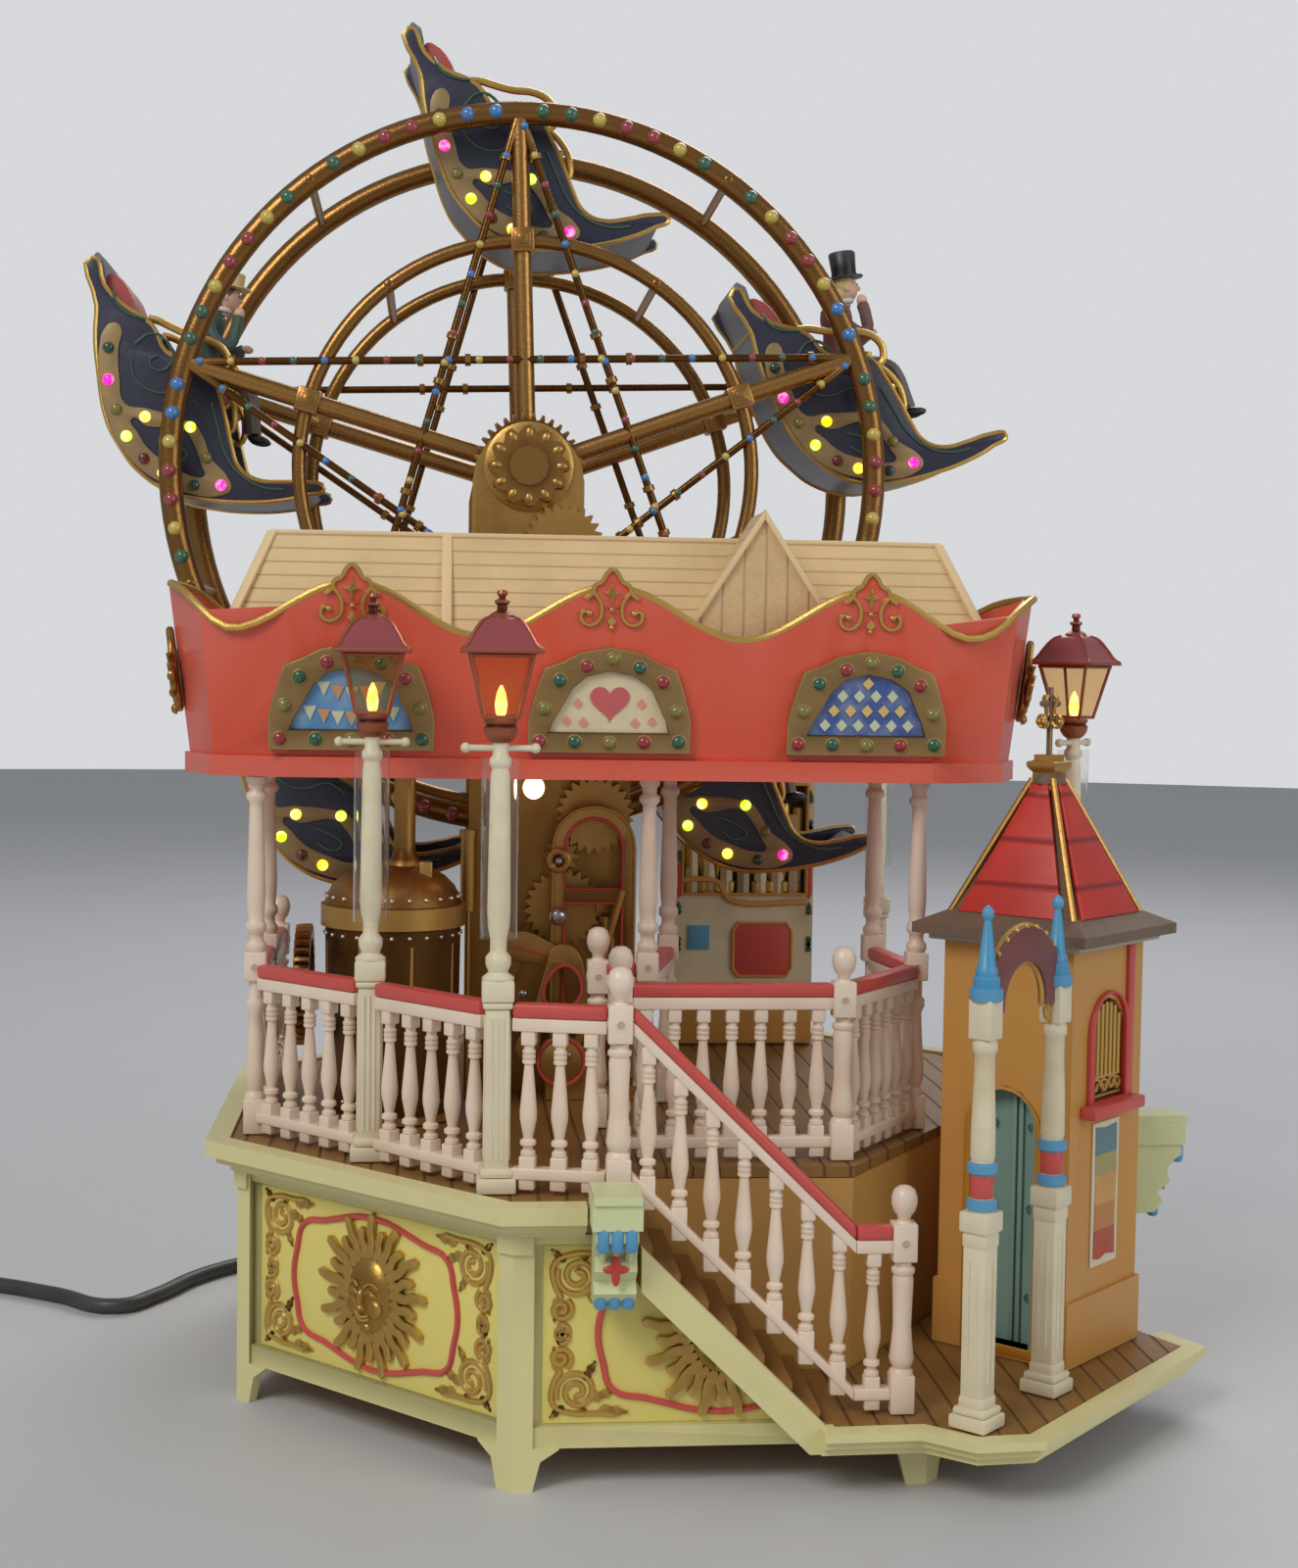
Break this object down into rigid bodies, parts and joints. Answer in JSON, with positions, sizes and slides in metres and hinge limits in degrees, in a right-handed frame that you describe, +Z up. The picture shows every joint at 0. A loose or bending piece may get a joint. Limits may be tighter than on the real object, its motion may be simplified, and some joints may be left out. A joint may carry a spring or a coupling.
{
  "type": "musical ferris wheel",
  "caption": "Tabletop ferris wheel with sleigh gondolas, a canopied engine deck with railings and stairs, street lamps and a ticket booth on a panelled cabinet.",
  "frame": {"origin": "middle of the footprint, cord left out, on the plane that the feet stand on", "axes": "+Z up, +Y from the stairs towards the wheel's back, +X towards the ticket booth"},
  "size_m": [0.5637, 0.3004, 0.4278],
  "materials": {
    "cream": "pale cream moulded plastic",
    "tan": "plain tan plastic",
    "deck_brown": "brown plastic with moulded boards",
    "rail": "cream plastic with coral handrails",
    "lamp": "ivory plastic",
    "lantern": "clear panes under a dark red roof",
    "coral": "coral orange plastic",
    "roof": "cream plastic with moulded shingles",
    "bronze": "antique bronze coating on plastic",
    "navy": "glossy navy plastic",
    "riders": "painted figures on a dark red seat",
    "ochre": "ochre plastic",
    "black": "black plastic",
    "cord": "black cord sheath"
  },
  "bodies": {
    "stand": {"cabinet": "cream", "bottom_plate": "tan", "deck": "deck_brown", "deck_cornice": "cream", "riser_wall": "tan", "landing_and_stairs": "deck_brown", "landing_trim": "cream", "corbel_left": "cream", "corbel_right": "cream", "rail_left_front_1": "rail", "rail_left_front_2": "rail", "rail_front": "rail", "rail_stair": "rail", "rail_upper": "rail", "rail_inner": "rail", "rail_left_side": "rail", "rail_right_side": "rail", "lamp_post_1": "lamp", "lamp_post_2": "lamp", "lamp_post_3": "lamp", "lamp_post_4": "lamp", "lantern_1": "lantern", "lantern_2": "lantern", "lantern_3": "lantern", "lantern_4": "lantern", "canopy_fascia": "coral", "canopy_roof": "roof", "front_tower": "bronze", "rear_tower": "bronze", "engine_frame": "bronze", "boiler": "bronze", "organ_case": "ochre", "booth": "ochre", "booth_roof": "coral", "entrance_arch": "lamp", "drive_motor": "black", "cord_lead": "cord", "cord_coil": "cord", "adapter": "black"},
    "wheel": {"wheel_front_frame": "bronze", "wheel_back_frame": "bronze", "wheel_axle": "bronze"},
    "gondola_1": {"gondola_hull_1": "navy", "gondola_seat_1": "riders"},
    "gondola_2": {"gondola_hull_2": "navy", "gondola_seat_2": "riders"},
    "gondola_3": {"gondola_hull_3": "navy", "gondola_seat_3": "riders"},
    "gondola_4": {"gondola_hull_4": "navy", "gondola_seat_4": "riders"},
    "gondola_5": {"gondola_hull_5": "navy", "gondola_seat_5": "riders"},
    "idler": {"idler_gear": "bronze"},
    "intermediate": {"intermediate_gear": "bronze"},
    "big": {"big_gear": "bronze"},
    "small": {"pinion": "bronze"},
    "crank": {"crank_gear": "bronze"},
    "fly": {"flywheel": "bronze"},
    "switch": {"power_switch": "black"}
  },
  "joints": [
    {"name": "wheel_spin", "type": "hinge", "parent": "stand", "child": "wheel", "pos_m": [-0.02906, 0.07124, 0.2825], "axis": [0, 1, 0], "continuous": true},
    {"name": "gondola_1_swing", "type": "hinge", "parent": "wheel", "child": "gondola_1", "pos_m": [-0.03313, 0.06774, 0.39903], "axis": [0, 1, 0], "continuous": true},
    {"name": "gondola_2_swing", "type": "hinge", "parent": "wheel", "child": "gondola_2", "pos_m": [-0.14114, 0.06774, 0.31464], "axis": [0, 1, 0], "continuous": true},
    {"name": "gondola_3_swing", "type": "hinge", "parent": "wheel", "child": "gondola_3", "pos_m": [-0.09426, 0.06774, 0.18583], "axis": [0, 1, 0], "continuous": true},
    {"name": "gondola_4_swing", "type": "hinge", "parent": "wheel", "child": "gondola_4", "pos_m": [0.04272, 0.06774, 0.19062], "axis": [0, 1, 0], "continuous": true},
    {"name": "gondola_5_swing", "type": "hinge", "parent": "wheel", "child": "gondola_5", "pos_m": [0.08051, 0.06774, 0.32238], "axis": [0, 1, 0], "continuous": true},
    {"name": "idler_spin", "type": "hinge", "parent": "stand", "child": "idler", "pos_m": [-0.01748, 0.02424, 0.25789], "axis": [0, 1, 0], "continuous": true},
    {"name": "intermediate_spin", "type": "hinge", "parent": "stand", "child": "intermediate", "pos_m": [-0.01188, 0.02154, 0.21354], "axis": [0, 1, 0], "continuous": true},
    {"name": "big_gear_spin", "type": "hinge", "parent": "stand", "child": "big", "pos_m": [-0.00628, 0.02154, 0.16919], "axis": [0, 1, 0], "continuous": true},
    {"name": "pinion_spin", "type": "hinge", "parent": "stand", "child": "small", "pos_m": [-0.01705, 0.02154, 0.15579], "axis": [0, 1, 0], "continuous": true},
    {"name": "crank_gear_spin", "type": "hinge", "parent": "stand", "child": "crank", "pos_m": [-0.01624, 0.02154, 0.13861], "axis": [0, 1, 0], "continuous": true},
    {"name": "flywheel_spin", "type": "hinge", "parent": "stand", "child": "fly", "pos_m": [-0.09826, -0.01278, 0.118], "axis": [1, 0, 0], "continuous": true},
    {"name": "power_switch_slide", "type": "slide", "parent": "stand", "child": "switch", "axis": [1, 0, 0], "range_m": [-0.002, 0.002]}
  ],
  "couplings": [
    {"joint": "gondola_1_swing", "follows": "wheel_spin", "ratio": -1},
    {"joint": "gondola_2_swing", "follows": "wheel_spin", "ratio": -1},
    {"joint": "gondola_3_swing", "follows": "wheel_spin", "ratio": -1},
    {"joint": "gondola_4_swing", "follows": "wheel_spin", "ratio": -1},
    {"joint": "gondola_5_swing", "follows": "wheel_spin", "ratio": -1},
    {"joint": "idler_spin", "follows": "wheel_spin", "ratio": -1.7},
    {"joint": "intermediate_spin", "follows": "wheel_spin", "ratio": 0.62769},
    {"joint": "big_gear_spin", "follows": "wheel_spin", "ratio": -1.7},
    {"joint": "pinion_spin", "follows": "wheel_spin", "ratio": 4.08},
    {"joint": "crank_gear_spin", "follows": "wheel_spin", "ratio": -1.7},
    {"joint": "flywheel_spin", "follows": "wheel_spin", "ratio": 1.7}
  ]
}
